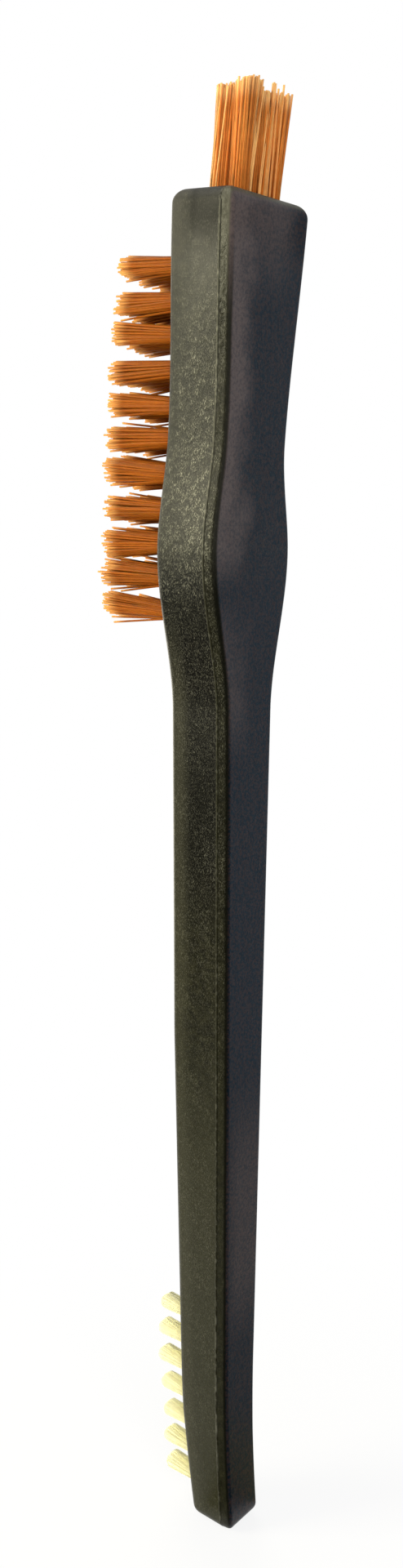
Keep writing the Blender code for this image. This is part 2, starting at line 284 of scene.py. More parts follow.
def section(height, inset=0.0, fullness=1.0):
    half_width = width_at(height) / 2.0 - inset
    back_radius = BACK_CORNER_RADIUS * fullness
    back_width = half_width - (PARTING_STEP + BACK_DRAFT) * fullness
    front_width = half_width - FRONT_DRAFT * fullness
    parting = -max(PARTING_DEPTH, inset + back_radius + PARTING_STEP)
    margin = FLAT_MARGIN * fullness
    back = corner(-inset, back_width, back_radius, 0.0)
    front = corner(inset - thickness_at(height), front_width, FRONT_CORNER_RADIUS * fullness, math.pi / 2.0)
    low = Vector((parting, half_width - PARTING_STEP * fullness, 0.0))
    high = Vector((parting, half_width, 0.0))
    half = [back[0] - Vector((0.0, margin, 0.0))]
    half += back + [back[-1].lerp(low, SLOPE_MARGIN), back[-1].lerp(low, 1.0 - SLOPE_MARGIN), low, high]
    half += near_both_ends(high, front[0], margin) + front
    half.append(front[-1] - Vector((0.0, margin, 0.0)))
    other_half = [Vector((point.x, -point.y, 0.0)) for point in reversed(half)]
    frame_here = back_frame(height)
    return [frame_here @ point for point in half + other_half]


def end_sections(end, rounding, direction):
    sections = []
    for step in range(END_STEPS + 1):
        angle = math.pi / 2.0 * (1.0 - step / END_STEPS)
        inset = rounding * (1.0 - math.cos(angle))
        height = end + direction * rounding * (1.0 - math.sin(angle))
        sections.append(section(height, inset, 1.0 - END_CORNER_TIGHTENING * inset / rounding))
    return sections


def add_handle(material):
    low = TAIL_END_ROUNDING
    high = HANDLE_LENGTH - HEAD_END_ROUNDING
    count = math.ceil((high - low) / RING_STEP)
    rings = end_sections(0.0, TAIL_END_ROUNDING, 1.0)
    rings += [section(low + (high - low) * step / count) for step in range(1, count)]
    rings += reversed(end_sections(HANDLE_LENGTH, HEAD_END_ROUNDING, -1.0))
    mesh = bpy.data.meshes.new("moulded_handle")
    points = [point for ring in rings for point in ring]
    mesh.from_pydata(points, [], tube_faces(0, len(rings), len(rings[0])))
    across, depth, behind = [], [], []
    for vertex in mesh.vertices:
        height = vertex.co.z
        here = back_frame(height).inverted() @ vertex.co
        across.append(vertex.co.y / (width_at(height) / 2.0))
        depth.append(-here.x / thickness_at(height))
        behind.append((PARTING_DEPTH + here.x) / MM)
    set_values(mesh, "across", across)
    set_values(mesh, "depth", depth)
    set_values(mesh, "behind", behind)
    mesh.shade_smooth()
    mesh.set_sharp_from_angle(angle=math.radians(40.0))
    add_piece("moulded_handle", mesh, Matrix.Identity(4), material, "handle")


# Places of the tufts: local +Z points out of the hole, and local Z 0 is at its mouth

def side_places():
    places = []
    for column in range(SIDE_COLUMNS):
        height = HANDLE_LENGTH - SIDE_END_MARGIN - column * SIDE_COLUMN_PITCH
        base = back_frame(height) @ Matrix.Translation((-thickness_at(height), 0.0, 0.0))
        for row in range(SIDE_ROWS):
            y = (row - (SIDE_ROWS - 1) / 2.0) * SIDE_ROW_PITCH
            place = base @ Matrix.Translation((0.0, y, 0.0)) @ Matrix.Rotation(-math.pi / 2.0, 4, "Y")
            places.append((column, row, f"side_tuft_{column + 1:02d}_{row + 1}", place))
    return places


def end_places():
    centre = END_OFFSET - thickness_at(HANDLE_LENGTH) / 2.0
    base = back_frame(HANDLE_LENGTH) @ Matrix.Translation((centre, 0.0, 0.0))
    places = []
    for column in range(END_COLUMNS):
        y = (column - (END_COLUMNS - 1) / 2.0) * END_COLUMN_PITCH
        for row in range(END_ROWS):
            x = ((END_ROWS - 1) / 2.0 - row) * END_ROW_PITCH
            place = base @ Matrix.Translation((x, y, 0.0))
            places.append((column, row, f"end_tuft_{column + 1}_{row + 1}", place))
    return places


def tail_places():
    places = []
    for column in range(TAIL_COLUMNS):
        height = TAIL_END_MARGIN + (TAIL_COLUMNS - 1 - column) * TAIL_COLUMN_PITCH
        base = back_frame(height) @ Matrix.Translation((-thickness_at(height), 0.0, 0.0))
        turn = Matrix.Rotation(-math.pi / 2.0 - TAIL_TILT, 4, "Y")
        for row in range(TAIL_ROWS):
            y = (row - (TAIL_ROWS - 1) / 2.0) * TAIL_ROW_PITCH
            place = base @ Matrix.Translation((0.0, y, 0.0)) @ turn
            places.append((column, row, f"tail_tuft_{column + 1}_{row + 1}", place))
    return places


# Node materials

class Nodes:
    # A material's node tree, with short calls to add and join nodes
    def __init__(self, name):
        self.material = bpy.data.materials.new(name)
        self.material.use_nodes = True
        self.tree = self.material.node_tree
        self.shader = self.tree.nodes["Principled BSDF"]
        self.output = self.tree.nodes["Material Output"]

    def add(self, kind, **settings):
        node = self.tree.nodes.new(kind)
        for key, value in settings.items():
            setattr(node, key, value)
        return node

    def join(self, source, target):
        self.tree.links.new(source, target)

    def object_place(self):
        return self.add("ShaderNodeTexCoord").outputs["Object"]

    def height_of(self, place):
        node = self.add("ShaderNodeSeparateXYZ")
        self.join(place, node.inputs[0])
        return node.outputs["Z"]

    def attribute(self, name):
        return self.add("ShaderNodeAttribute", attribute_name=name).outputs["Fac"]

    def noise(self, vector, scale, detail, roughness=0.5):
        node = self.add("ShaderNodeTexNoise")
        node.inputs["Scale"].default_value = scale
        node.inputs["Detail"].default_value = detail
        node.inputs["Roughness"].default_value = roughness
        self.join(vector, node.inputs["Vector"])
        return node.outputs["Fac"]

    def ramp(self, value, low, high, low_out=0.0, high_out=1.0, smooth=False):
        kind = "SMOOTHSTEP" if smooth else "LINEAR"
        node = self.add("ShaderNodeMapRange", interpolation_type=kind, clamp=True)
        node.inputs["From Min"].default_value = low
        node.inputs["From Max"].default_value = high
        node.inputs["To Min"].default_value = low_out
        node.inputs["To Max"].default_value = high_out
        self.join(value, node.inputs["Value"])
        return node.outputs["Result"]

    def math(self, operation, first, second):
        node = self.add("ShaderNodeMath", operation=operation)
        for socket, value in zip(node.inputs, (first, second)):
            if isinstance(value, float):
                socket.default_value = value
            else:
                self.join(value, socket)
        return node.outputs["Value"]

    def times(self, first, second):
        return self.math("MULTIPLY", first, second)

    def plus(self, first, second):
        return self.math("ADD", first, second)

    def most(self, first, second):
        return self.math("MAXIMUM", first, second)

    def rest(self, value):
        # What is left of 1
        return self.math("SUBTRACT", 1.0, value)

    def mix(self, factor, first, second):
        node = self.add("ShaderNodeMix", data_type="RGBA", blend_type="MIX")
        self.join(factor, node.inputs[0])
        for socket, value in zip((node.inputs[6], node.inputs[7]), (first, second)):
            if isinstance(value, tuple):
                socket.default_value = (*value, 1.0)
            else:
                self.join(value, socket)
        return node.outputs[2]

    def slanted(self, vector, angle, stretch):
        # The place, turned about Y and squeezed along Z, so that a noise there runs in strokes
        node = self.add("ShaderNodeMapping")
        node.inputs["Rotation"].default_value = (0.0, math.radians(angle), 0.0)
        node.inputs["Scale"].default_value = (1.0, 1.0, 1.0 / stretch)
        self.join(vector, node.inputs["Vector"])
        return node.outputs["Vector"]

    def bump(self, height, strength, distance):
        node = self.add("ShaderNodeBump")
        node.inputs["Strength"].default_value = strength
        node.inputs["Distance"].default_value = distance
        self.join(height, node.inputs["Height"])
        return node.outputs["Normal"]


class HandleNodes(Nodes):
    # The places, noises and masks that the colour, the grain and the relief of the handle share. Heights are
    # in metres. across runs from -1 to 1 over the width of the handle, depth from 0 at its back to 1 at its
    # front, and behind tells how many mm a point lies behind the parting line
    def __init__(self, name):
        super().__init__(name)
        self.place = self.object_place()
        self.height = self.height_of(self.place)
        self.across = self.attribute("across")
        self.depth = self.attribute("depth")
        self.behind = self.attribute("behind")
        self.patches = self.noise(self.place, 90.0, 2.0)
        self.blotches = self.noise(self.place, 800.0, 2.0)
        self.lumps = self.noise(self.place, 1300.0, 3.0, 0.65)
        self.grain = self.most(self.grain_along(50.0), self.grain_along(-65.0))

        # The sides, as against the back face, then the head and the tail
        self.sides = self.ramp(self.depth, 0.02, 0.05)
        self.head = self.ramp(self.height, 0.180, 0.191, smooth=True)
        self.tail = self.ramp(self.height, 0.105, 0.070, smooth=True)

        # The band of the sides behind the parting line, and the rounded edge behind it, whose crease is
        # darkened with painted shade
        self.behind_parting = self.ramp(self.behind, -0.05, 0.10)
        self.band = self.times(self.behind_parting, self.ramp(self.height, 0.237, 0.226))
        corner = self.times(self.ramp(self.behind, 1.35, 1.85), self.ramp(self.head, 0.0, 1.0, 0.8, 0.55))
        self.corner = self.times(corner, self.ramp(self.height, 0.238, 0.226, 0.1, 1.0))

        # The dark cloud at the top of the sides, and the lumpy ridge along the edge of the head, whose paler
        # lumps are a painted highlight
        cloud = self.ramp(self.height, 0.226, 0.240)
        cloud = self.times(cloud, self.ramp(self.patches, 0.42, 0.58, 0.6, 0.95))
        self.cloud = self.times(cloud, self.ramp(self.depth, 0.75, 0.60, 0.1, 1.0))
        rise = self.ramp(self.behind, -0.60, 0.0, smooth=True)
        fall = self.ramp(self.behind, 1.90, 1.20, smooth=True)
        self.ridge = self.times(self.times(rise, fall), self.ramp(self.height, 0.206, 0.236))

    def grain_along(self, angle):
        # Fine grains, a little longer in one direction
        return self.noise(self.slanted(self.place, angle, 2.1), 5600.0, 3.0, 0.7)


def side_colour(m):
    # The side: darkest in the grip, a little paler towards its front and its tail. The dark grip and the
    # paler tail are painted shade and light along the handle
    colour = m.mix(m.tail, (0.006, 0.0059, 0.0020), (0.017, 0.0163, 0.0040))
    # Painted shade on the band behind the parting line, on the tail
    colour = m.mix(m.times(m.tail, m.band), colour, (0.008, 0.008, 0.003))
    colour = m.mix(m.ramp(m.blotches, 0.35, 0.65, 0.0, 0.5), colour, (0.022, 0.021, 0.008))
    # Painted shade over the grip, less on its band
    grip = m.times(m.ramp(m.height, 0.112, 0.138, smooth=True), m.rest(m.head))
    colour = m.mix(m.times(grip, m.ramp(m.band, 0.0, 1.0, 0.92, 0.25)), colour, (0.001, 0.001, 0.0005))
    colour = m.mix(m.cloud, colour, (0.004, 0.004, 0.002))
    front = m.times(m.ramp(m.depth, 0.68, 0.85), m.ramp(m.height, 0.230, 0.240))
    colour = m.mix(m.times(front, 0.5), colour, (0.050, 0.047, 0.037))
    # Painted highlight on the band at the top of the head
    top_band = m.times(m.behind_parting, m.ramp(m.height, 0.226, 0.238))
    colour = m.mix(m.times(top_band, 0.9), colour, (0.062, 0.060, 0.040))
    # Paler lumps on the ridge: a painted highlight of its edge, over lumps that the relief raises too
    colour = m.mix(m.times(m.ridge, m.ramp(m.lumps, 0.45, 0.62, 0.0, 0.7)), colour, (0.110, 0.106, 0.078))
    worn = m.times(m.ramp(m.depth, 0.60, 0.85, smooth=True), m.ramp(m.height, 0.182, 0.160, smooth=True))
    colour = m.mix(m.times(worn, m.ramp(m.height, 0.070, 0.120, 0.35, 0.5)), colour, (0.045, 0.043, 0.024))
    # Painted shade in the crease of the rounded edge behind the band
    return m.mix(m.corner, colour, (0.001, 0.001, 0.0005))


def back_colour(m):
    # The back: pale painted light beside the near edge of the head, over its top, at its waist and low on the
    # grip
    near = m.ramp(m.plus(m.across, m.ramp(m.patches, 0.3, 0.7, -0.30, 0.30)), 0.05, -0.85, smooth=True)
    top = m.times(m.ramp(m.height, 0.226, 0.243, smooth=True), m.ramp(m.across, 0.85, 0.20, smooth=True))
    painted_light = m.times(m.most(near, m.times(top, 0.6)), m.head)
    low = m.times(m.ramp(m.height, 0.035, 0.055, smooth=True), m.ramp(m.height, 0.095, 0.070, smooth=True))
    painted_light = m.most(painted_light, m.times(low, m.ramp(m.across, -0.90, -0.30, 0.10, 0.42)))
    waist = m.times(m.ramp(m.height, 0.150, 0.162, smooth=True), m.ramp(m.height, 0.182, 0.172, smooth=True))
    painted_light = m.most(painted_light, m.times(m.times(waist, near), 0.4))
    mottle = m.noise(m.place, 1900.0, 3.0, 0.75)
    painted_light = m.times(painted_light, m.ramp(mottle, 0.38, 0.62, 0.6, 1.2))
    colour = m.mix(m.ramp(mottle, 0.44, 0.56), (0.001, 0.008, 0.015), (0.028, 0.016, 0.015))
    colour = m.mix(painted_light, colour, (0.100, 0.074, 0.067))

    # The near rim has no mottle and no painted light, apart from the top of the head. Below that it is
    # darkened as painted shade along the crease, less on the head
    inside = m.most(m.ramp(m.across, -0.94, -0.87, smooth=True), m.ramp(m.height, 0.225, 0.238))
    return m.mix(inside, m.mix(m.head, (0.006, 0.006, 0.003), (0.018, 0.017, 0.012)), colour)


def painted_sparkle_amount(m):
    # Pale specks painted as the sparkle of light on the grain: most of them on the sides of the head below
    # its top, where the sheen falls, some in the grip, few on the tail
    coarse = m.times(m.ramp(m.height, 0.176, 0.188, 0.0, 1.15), m.ramp(m.height, 0.234, 0.218))
    sparkle_amount = m.most(m.ramp(m.height, 0.080, 0.120, 0.16, 0.30), coarse)
    sparkle_amount = m.times(sparkle_amount, m.ramp(m.sides, 0.0, 1.0, 0.25, 1.0))
    sparkle_amount = m.times(sparkle_amount, m.most(m.ramp(m.depth, 0.90, 0.45, 0.30, 1.0), m.rest(m.head)))
    sparkle_amount = m.times(sparkle_amount, m.ramp(m.height, 0.197, 0.208, 1.80, 0.95))
    sparkle_amount = m.times(sparkle_amount, m.ramp(m.height, 0.178, 0.186, 0.7, 1.0))
    sparkle_amount = m.times(sparkle_amount, m.ramp(m.times(m.band, m.most(m.head, m.tail)), 0.0, 1.0, 1.0, 0.45))
    sparkle_amount = m.times(sparkle_amount, m.ramp(m.corner, 0.0, 0.8, 1.0, 0.2))
    return m.times(sparkle_amount, m.ramp(m.cloud, 0.0, 1.0, 1.0, 0.2))


def handle_material():
    # Black plastic: olive with a coarse spark-eroded grain on the sides, finer and bluer on the back face
    m = HandleNodes("black_textured_plastic_look")
    sparkle_amount = painted_sparkle_amount(m)
    clumps = m.most(m.ramp(m.blotches, 0.40, 0.60, 0.25, 1.0), m.ramp(m.head, 0.0, 1.0, 0.75, 0.0))
    clumps = m.times(clumps, m.ramp(m.patches, 0.35, 0.60, 0.55, 1.0))
    # Pale specks painted as sparkles of the lamps on the facets of the grain
    painted_sparkles = m.times(m.ramp(m.grain, 0.55, 0.69), clumps)
    colour = m.mix(m.sides, back_colour(m), side_colour(m))
    colour = m.mix(m.times(painted_sparkles, sparkle_amount), colour, (0.30, 0.29, 0.21))
    m.join(colour, m.shader.inputs["Base Color"])

    # Smoother where the grain stands high, rougher at the top and at the front of the head
    roughness = m.ramp(m.grain, 0.3, 0.7, 0.44, 0.28)
    roughness = m.plus(roughness, m.ramp(m.height, 0.234, 0.241, 0.0, 0.12))
    roughness = m.plus(roughness, m.ramp(m.cloud, 0.5, 0.9, 0.0, 0.14))
    roughness = m.plus(roughness, m.times(m.head, m.ramp(m.depth, 0.50, 0.85, 0.0, 0.10)))
    m.join(roughness, m.shader.inputs["Roughness"])
    m.shader.inputs["Specular IOR Level"].default_value = 0.22

    # The relief of the grain, with that of the lumps on the ridge
    relief = m.plus(m.grain, m.times(m.blotches, 1.2))
    relief = m.times(relief, m.ramp(sparkle_amount, 0.25, 1.0, 0.5, 1.2))
    relief = m.times(relief, m.ramp(m.sides, 0.0, 1.0, 1.3, 1.0))
    lumps = m.times(m.ridge, m.math("SUBTRACT", m.lumps, 0.5))
    relief = m.plus(relief, m.times(lumps, 3.5))
    m.join(m.bump(relief, 1.0, 0.06 * MM), m.shader.inputs["Normal"])
    return m.material


def flash_material():
    # The thin, pale and broken line of flash left where the two halves of the mould met. Its paleness is a
    # painted highlight along the line, paler on the head as painted light where the sheen falls
    m = Nodes("mould_flash_look")
    place = m.object_place()
    height = m.height_of(place)
    wear = m.noise(place, 1100.0, 2.0)
    # Painted light: the flash is paler on the head, where the sheen falls
    head = m.ramp(height, 0.180, 0.195)
    worn = m.mix(head, (0.020, 0.0192, 0.008), (0.060, 0.058, 0.038))
    pale = m.mix(head, (0.06, 0.058, 0.038), (0.15, 0.145, 0.10))
    chips = m.times(m.ramp(m.noise(place, 320.0, 3.0), 0.50, 0.62), m.ramp(height, 0.060, 0.035))
    colour = m.mix(m.ramp(wear, 0.50, 0.70), worn, pale)
    m.join(m.mix(chips, colour, (0.08, 0.078, 0.055)), m.shader.inputs["Base Color"])
    m.join(m.ramp(wear, 0.3, 0.7, 0.5, 0.4), m.shader.inputs["Roughness"])
    m.shader.inputs["Specular IOR Level"].default_value = 0.25
    return m.material


def filament_material(name, root, body, tip, body_start, tip_start, unlike, passed):
    # Nylon filament: darker at the root, as painted shade where the strands crowd, lighter at the cut tip,
    # with each strand a little unlike the next. Some light passes through it. A strand value above 1 makes a
    # strand as pale as its tip
    m = Nodes(name)
    along = m.attribute("along")
    strand_value = m.attribute("strand")
    streak = m.noise(m.object_place(), 700.0, 2.0)
    # Painted shade: darker towards the root
    colour = m.mix(m.ramp(along, 0.0, body_start, smooth=True), root, body)
    paler = m.most(m.ramp(along, tip_start, 1.0, smooth=True), m.ramp(strand_value, 1.0, 2.0, 0.0, 0.8))
    colour = m.mix(paler, colour, tip)
    shade = m.ramp(strand_value, 0.0, 1.0, 1.0 - unlike, 1.0 + unlike)
    shade = m.times(shade, m.ramp(streak, 0.3, 0.7, 0.9, 1.1))
    scaled = m.add("ShaderNodeVectorMath", operation="SCALE")
    m.join(colour, scaled.inputs[0])
    m.join(shade, scaled.inputs["Scale"])
    m.join(scaled.outputs["Vector"], m.shader.inputs["Base Color"])
    m.join(m.ramp(strand_value, 0.0, 1.0, 0.42, 0.54), m.shader.inputs["Roughness"])
    m.shader.inputs["Specular IOR Level"].default_value = 0.08
    m.shader.inputs["Subsurface Weight"].default_value = passed
    m.shader.inputs["Subsurface Radius"].default_value = (1.0, 1.0, 1.0)
    m.shader.inputs["Subsurface Scale"].default_value = 0.3 * MM
    return m.material


# Filaments

def disc_points(count, radius, rng):
    # Points spread evenly over a disc, each a golden angle on from the last and moved a little
    points = []
    for index in range(count):
        reach = radius * math.sqrt((index + 0.5) / count)
        angle = index * math.pi * (3.0 - math.sqrt(5.0))
        jitter = 0.06 * radius
        points.append((
            reach * math.cos(angle) + rng.uniform(-jitter, jitter),
            reach * math.sin(angle) + rng.uniform(-jitter, jitter),
        ))
    return points


def tuft_axis(strands, aside):
    # The middle of a tuft at each level, moved aside in y, and how far the strands reach from it
    axis = []
    for level in range(len(strands[0][0])):
        places = [points[level] for points, _, _, _ in strands]
        middle_x = sum(place[0] for place in places) / len(places)
        middle_y = sum(place[1] for place in places) / len(places) + aside
        reach = max(math.hypot(place[0] - middle_x, place[1] - middle_y) for place in places)
        axis.append((middle_x, middle_y, reach))
    return axis


def filament_mesh(name, strands, soften, aside):
    # strands: points, radius, shade and twist of each filament, a tube with closed ends. soften turns the
    # shading of a tube towards the outside of its tuft, as light spreads between strands
    verts, faces, along, shades, normals = [], [], [], [], []
    axis = tuft_axis(strands, aside)
    for points, radius, shade, twist in strands:
        faces += tube_faces(len(verts), len(points), FILAMENT_SIDES)
        for level, (x, y, z) in enumerate(points):
            middle_x, middle_y, reach = axis[level]
            turn_x = soften * (x - middle_x) / reach
            turn_y = soften * (y - middle_y) / reach
            for side in range(FILAMENT_SIDES):
                angle = twist + 2.0 * math.pi * side / FILAMENT_SIDES
                out_x, out_y = math.cos(angle), math.sin(angle)
                verts.append((x + radius * out_x, y + radius * out_y, z))
                normals.append(Vector((out_x + turn_x, out_y + turn_y, 0.0)).normalized())
                along.append(level / (len(points) - 1))
                shades.append(shade)
    mesh = bpy.data.meshes.new(name)
    mesh.from_pydata(verts, [], faces)
    set_values(mesh, "along", along)
    set_values(mesh, "strand", shades)
    mesh.shade_smooth()

    # The faces that close a tube are lit as what they are, flat and square to it
    down, up = Vector((0.0, 0.0, -1.0)), Vector((0.0, 0.0, 1.0))
    corners = []
    for face in faces:
        if len(face) == 4:
            corners.extend(normals[vertex] for vertex in face)
        else:
            corners.extend([down if face[0] > face[1] else up] * len(face))
    mesh.normals_split_custom_set(corners)
    return mesh


def strand(rng, x, y, lean, root, length, thickness, curl, levels, shade=None):
    # One filament that starts at x, y, leans and bows, as its points, its radius, its shade and its twist
    bow_x, bow_y = rng.gauss(0.0, curl), rng.gauss(0.0, curl)
    points = []
    for level in range(levels):
        z = root + (length - root) * level / (levels - 1)
        rise = max(z, 0.0)
        bend = rise ** 2 / length
        points.append((x + lean[0] * rise + bow_x * bend, y + lean[1] * rise + bow_y * bend, z))
    shade = rng.random() if shade is None else shade
    return points, thickness / 2.0, shade, rng.uniform(0.0, math.pi)


def tuft_strands(rng, count, radius, root, length, thickness, splay, wander, tilt, ragged, curl, levels,
                 trim=None, clumps=0):
    # tilt is the lean of the whole tuft in its local x and y, and wander that of single strands. Strands of
    # one sector of the tuft may cling together as a clump with a lean and a length of its own
    spreads = (wander, wander, ragged)
    sectors = [[rng.gauss(0.0, spread) for spread in spreads] for _ in range(clumps)]
    strands = []
    for x, y in disc_points(count, radius, rng):
        lean_x = tilt[0] + splay * x / radius + rng.gauss(0.0, wander)
        lean_y = tilt[1] + splay * y / radius + rng.gauss(0.0, wander)
        own = length - abs(rng.gauss(0.0, ragged)) + ragged * 0.5
        if sectors:
            sector = sectors[int((math.atan2(y, x) / math.tau + 0.5) * clumps) % clumps]
            lean_x += sector[0]
            lean_y += sector[1]
            own += min(sector[2], 0.5 * ragged)
        if trim:
            own = trim(own, x / radius, math.hypot(x, y) / radius)
        strands.append(strand(rng, x, y, (lean_x, lean_y), root, own, thickness, curl, levels))
    return strands


def add_tuft(node, place, strands, material, soften, aside=0.0):
    name = f"filaments_{node}"
    add_piece(name, filament_mesh(name, strands, soften, aside), place, material, node)


def side_tufts(material):
    rng = random.Random(11)
    stray_rng = random.Random(5)
    for column, row, node, place in side_places():
        # The tufts below the fifth fan out more and more
        fan = max(column - 4, 0) / 6.0
        tilt_x = rng.gauss(-0.012, 0.010) - 0.020 * row * (1.0 - 0.5 * fan) + 0.02 * fan
        tilt_y = rng.gauss(0.0, 0.015)
        tilt = (tilt_x + SIDE_LEANS[column], tilt_y)
        cut = float(np.interp(column, SIDE_CUT_COLUMNS, SIDE_CUTS)) - SIDE_EXTRA[column] * MM
        slim = SIDE_SLIM.get(column, 1.0)
        count, radius = SIDE_FIELDS[row]
        strands = tuft_strands(
            rng, count=count, radius=radius * slim, root=HEAD_ROOT, length=SIDE_LENGTH - cut,
            thickness=SIDE_STRAND, splay=(0.048 + 0.016 * fan) * slim ** 3, wander=0.012 + 0.006 * row,
            tilt=tilt, ragged=0.4 * MM, curl=0.008, levels=6, clumps=7)

        # A few strands leave the tuft, most of them downwards
        for _ in range(rng.choice((1, 2, 3, 3))):
            lean = (tilt[0] + rng.uniform(-0.10, 0.03), tilt[1] + rng.gauss(0.0, 0.03))
            length = rng.uniform(14.0, 17.4) * MM - cut
            x, y = rng.uniform(-1.0, 1.0) * MM, rng.uniform(-1.0, 1.0) * MM
            strands.append(strand(rng, x, y, lean, HEAD_ROOT, length, SIDE_STRAND, curl=0.02, levels=6))
        if row == 0:
            for lean, length in SIDE_STRAYS.get(column, ()):
                x, y = -SIDE_STRAY_START, stray_rng.uniform(-0.8, 0.8) * MM
                way = (lean, stray_rng.gauss(0.0, 0.02))
                strands.append(strand(
                    stray_rng, x, y, way, HEAD_ROOT, length * MM, SIDE_STRAND, curl=0.006, levels=6))
        drop = (SIDE_DROPS.get(column, 0.0) + row * SIDE_ROW_DROPS.get(column, 0.0)) * MM
        place = place @ Matrix.Translation((-drop, 0.0, 0.0))
        add_tuft(node, place, strands, material, soften=0.6)


def end_tufts(material):
    rng = random.Random(23)
    for column, row, node, place in end_places():
        tilt = (rng.gauss(0.015 + 0.010 * row, 0.006), END_LEAN * column + rng.gauss(0.0, 0.006))
        length = END_LENGTHS[column] - END_ROW_CUT * row
        slope = END_SLOPES[row]
        strands = tuft_strands(
            rng, count=104, radius=1.52 * MM, root=HEAD_ROOT, length=length, thickness=END_STRAND,
            splay=0.012, wander=0.014, tilt=tilt, ragged=0.4 * MM, curl=0.010, levels=6,
            trim=lambda own, x, reach: own + slope * x)

        # Pale strands cross the others on the outside of the block
        for _ in range(END_PALE_STRANDS[column]):
            x, y = rng.uniform(-1.3, 1.3) * MM, rng.uniform(-1.3, 0.6) * MM
            lean = (tilt[0], tilt[1] + rng.uniform(0.02, 0.08))
            if row == 0:
                x = END_RIM
            elif column == 0:
                y = -END_RIM
                lean = (tilt[0] + rng.uniform(0.02, 0.08), tilt[1])
            own = length - rng.uniform(0.1, 0.8) * MM
            strands.append(strand(
                rng, x, y, lean, HEAD_ROOT, own, FINE_STRAND, curl=0.006, levels=6, shade=1.8))

        # Each tuft bulges into the room between it and its neighbours, and is flatter on its outer sides
        forward, nearer = END_SHIFTS[column]
        for points, _, _, _ in strands:
            for level, (x, y, z) in enumerate(points):
                x *= END_BULGE if (x < 0.0) == (row == 0) else END_ROW_FLATS[row]
                y *= END_BULGE if column == 1 or (y > 0.0) == (column == 0) else END_COLUMN_FLATS[column]
                points[level] = (x - forward, y - nearer, z)
        for y, own in END_TALL_STRANDS.get((column, row), ()):
            lean = (0.015, END_LEAN * column)
            strands.append(strand(
                rng, END_RIM, y * MM, lean, HEAD_ROOT, own * MM, END_STRAND, curl=0.001, levels=6, shade=1.4))
        add_tuft(node, place, strands, material, soften=0.3)


def tail_tufts(material):
    rng = random.Random(37)
    for column, row, node, place in tail_places():
        tilt = (rng.gauss(0.01 - 0.06 * row, 0.01), rng.gauss(0.05 - 0.10 * row, 0.01))
        strands = tuft_strands(
            rng, count=460, radius=0.60 * MM, root=TAIL_ROOT, length=TAIL_LENGTHS[row] - TAIL_CUTS[column],
            thickness=FINE_STRAND, splay=0.10, wander=0.002, tilt=tilt, ragged=0.05 * MM, curl=0.002,
            levels=5, trim=lambda own, x, reach: own - (1.0 - 0.3 * x) * MM * reach ** 3)

        # The two tufts of a column bulge towards each other and meet
        for points, _, _, _ in strands:
            for level, (x, y, z) in enumerate(points):
                points[level] = (x, y * TAIL_BULGE if (y > 0.0) == (row == 0) else y, z)
        aside = (0.5 - row) * TAIL_ROW_PITCH
        add_tuft(node, place, strands, material, soften=1.5, aside=aside)


# Mould flash along the side faces

def flash_lines(material):
    low = TAIL_END_ROUNDING
    high = HANDLE_LENGTH - HEAD_END_ROUNDING
    for side, name in ((-1.0, "mould_flash_near"), (1.0, "mould_flash_far")):
        verts = []
        for step in range(FLASH_STEPS + 1):
            height = low + (high - low) * step / FLASH_STEPS
            half_width = width_at(height) / 2.0
            base = back_frame(height) @ Matrix.Translation((-PARTING_DEPTH, side * half_width, 0.0))
            proud = FLASH_PROUD + FLASH_UNEVENNESS * noise.noise(Vector((side, 0.0, height / FLASH_WAVE)))
            crest = [(x, proud) for x in FLASH_CREST]
            for x, y in (FLASH_BACK_FOOT, *crest, FLASH_FRONT_FOOT):
                verts.append(base @ Vector((x, side * y, 0.0)))
        faces = tube_faces(0, FLASH_STEPS + 1, 4)
        if side < 0.0:
            faces = [face[::-1] for face in faces]
        mesh = bpy.data.meshes.new(name)
        mesh.from_pydata(verts, [], faces)
        mesh.shade_smooth()
        add_piece(name, mesh, Matrix.Identity(4), material)


# Studio

def add_camera():
    back = Vector((
        math.sin(CAMERA_YAW) * math.cos(CAMERA_PITCH),
        -math.cos(CAMERA_YAW) * math.cos(CAMERA_PITCH),
        math.sin(CAMERA_PITCH),
    ))
    level = Vector((math.cos(CAMERA_YAW), math.sin(CAMERA_YAW), 0.0))
    raised = back.cross(level)
    right = math.cos(CAMERA_ROLL) * level + math.sin(CAMERA_ROLL) * raised
    up = back.cross(right)
    data = bpy.data.cameras.new("camera")
    data.lens = CAMERA_LENS
    data.sensor_width = 36.0
    data.clip_start = 0.01
    data.clip_end = 20.0
    camera = bpy.data.objects.new("camera", data)
    turn = Matrix((right, up, back)).transposed().to_4x4()
    camera.matrix_world = Matrix.Translation(CAMERA_PLACE) @ turn
    bpy.context.scene.collection.objects.link(camera)
    bpy.context.scene.camera = camera


def add_lamp(name, place, aim, size, power, colour, glossy=True):
    # An area lamp that looks at the brush at the height aim, and that reflections show only if it is glossy
    data = bpy.data.lights.new(name, "AREA")
    data.shape = "RECTANGLE"
    data.size, data.size_y = size
    data.energy = power
    data.color = colour
    lamp = bpy.data.objects.new(name, data)
    lamp.location = place
    lamp.rotation_euler = (Vector((0.0, 0.0, aim)) - Vector(place)).to_track_quat("-Z", "Y").to_euler()
    lamp.visible_glossy = glossy
    bpy.context.scene.collection.objects.link(lamp)


def shown_as_background(tree):
    # 1 for the rays that see the background: straight from the camera, reflected or refracted
    path = tree.nodes.new("ShaderNodeLightPath")
    seen = path.outputs["Is Camera Ray"]
    for name in ("Is Glossy Ray", "Is Transmission Ray"):
        either = tree.nodes.new("ShaderNodeMath")
        either.operation = "MAXIMUM"
        tree.links.new(seen, either.inputs[0])
        tree.links.new(path.outputs[name], either.inputs[1])
        seen = either.outputs["Value"]
    return seen


